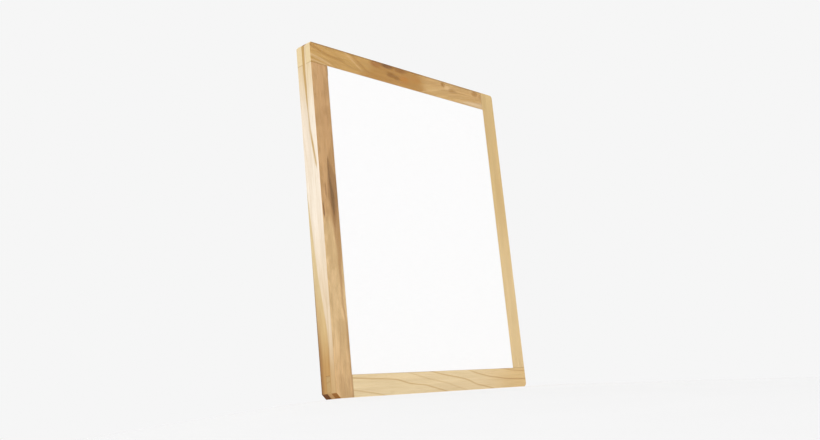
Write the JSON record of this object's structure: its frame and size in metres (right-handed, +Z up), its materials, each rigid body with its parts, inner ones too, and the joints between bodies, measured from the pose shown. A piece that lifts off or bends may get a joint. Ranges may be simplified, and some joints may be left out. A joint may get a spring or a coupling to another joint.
{
  "type": "screen printing frame",
  "caption": "Finger-jointed wooden frame with white mesh glued flat over its print side, standing upright on its short side.",
  "frame": {"origin": "middle of the foot: the centre of the bottom face, halfway through the whole thickness", "axes": "+X across the frame to the right as the print side is seen, +Y from the print side to the squeegee side, +Z up the long side"},
  "size_m": [0.508, 0.0356, 0.61],
  "materials": {
    "wood_top_rail": "sanded bare softwood",
    "wood_bottom_rail": "sanded bare softwood",
    "wood_left_stile": "sanded bare softwood",
    "wood_right_stile": "sanded bare softwood",
    "mesh": "fine plain-woven white polyester",
    "adhesive": "clear cured film",
    "brad_steel": "plain wire"
  },
  "bodies": {
    "root": {"top_rail": "wood_top_rail", "bottom_rail": "wood_bottom_rail", "left_stile": "wood_left_stile", "right_stile": "wood_right_stile", "mesh_fabric": "mesh", "adhesive_top": "adhesive", "adhesive_bottom": "adhesive", "adhesive_left": "adhesive", "adhesive_right": "adhesive", "brads_top_left": "brad_steel", "brads_top_right": "brad_steel", "brads_bottom_left": "brad_steel", "brads_bottom_right": "brad_steel"}
  },
  "joints": []
}
